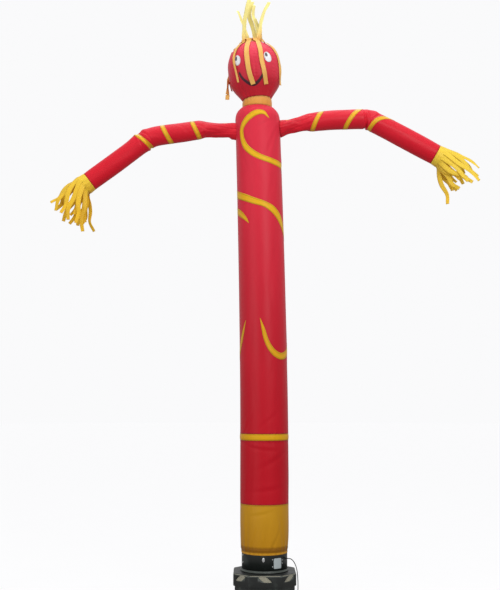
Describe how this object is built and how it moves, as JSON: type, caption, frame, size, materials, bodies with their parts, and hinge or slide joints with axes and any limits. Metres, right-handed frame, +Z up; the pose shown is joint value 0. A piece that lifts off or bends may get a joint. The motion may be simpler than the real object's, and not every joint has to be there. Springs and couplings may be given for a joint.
{
  "type": "inflatable air dancer with blower",
  "caption": "Tall inflated cloth tube figure with limp arms, round head, fringe hair and hands, standing on a floor blower with its mains lead.",
  "frame": {"origin": "centre of the bounding box's base without the lead: on the floor, under the blower", "axes": "+Z up along the figure, -Y towards its front, +X to the viewer's right"},
  "size_m": [4.2135, 0.764, 5.9582],
  "materials": {
    "red_nylon": "taut coated nylon, satin",
    "yellow_nylon": "coated nylon, satin",
    "ochre_nylon": "coated nylon, satin",
    "white_nylon": "sewn-on patch, matt",
    "grey_nylon": "sewn-on patch, matt",
    "black_nylon": "sewn-on patch, matt",
    "black_moulding": "fine grained moulding",
    "black_drum": "semi-gloss paint on rolled sheet",
    "guard_steel": "grey-beige paint",
    "pale_plate": "bare printed-plate blank, satin",
    "zinc_steel": "zinc plated",
    "black_rubber": "matt rubber"
  },
  "bodies": {
    "root": {"blower_base": "black_moulding", "blower_shroud": "black_moulding", "inlet_guard": "guard_steel", "foot_1": "black_rubber", "foot_2": "black_rubber", "foot_3": "black_rubber", "foot_4": "black_rubber", "blower_drum": "black_drum", "collar_flange": "black_moulding", "rating_plate": "pale_plate", "plate_screw_1": "zinc_steel", "plate_screw_2": "zinc_steel", "plate_screw_3": "zinc_steel", "plate_screw_4": "zinc_steel", "drum_bolt_1": "zinc_steel", "drum_bolt_2": "zinc_steel", "drum_catch": "zinc_steel", "skirt": "ochre_nylon", "tube_lower": "red_nylon", "tube_ring": "yellow_nylon", "trunk": "red_nylon", "swirl_chest": "yellow_nylon", "swirl_waist": "yellow_nylon", "swirl_tip": "yellow_nylon", "swirl_low_left": "yellow_nylon", "swirl_low_hook": "yellow_nylon", "neck": "yellow_nylon", "head": "red_nylon", "eye_left": "white_nylon", "eye_right": "white_nylon", "pupil_left": "grey_nylon", "pupil_right": "grey_nylon", "smile": "black_nylon", "hair": "yellow_nylon", "arm_left": "red_nylon", "arm_right": "red_nylon", "arm_band_1": "yellow_nylon", "arm_band_2": "yellow_nylon", "arm_band_3": "yellow_nylon", "arm_band_4": "yellow_nylon", "arm_band_5": "yellow_nylon", "arm_band_6": "yellow_nylon", "hand_left": "yellow_nylon", "hand_right": "yellow_nylon", "cord_gland": "black_rubber", "cord": "black_rubber", "cord_coil": "black_rubber", "plug": "black_rubber", "plug_pin_1": "zinc_steel", "plug_pin_2": "zinc_steel"}
  },
  "joints": []
}
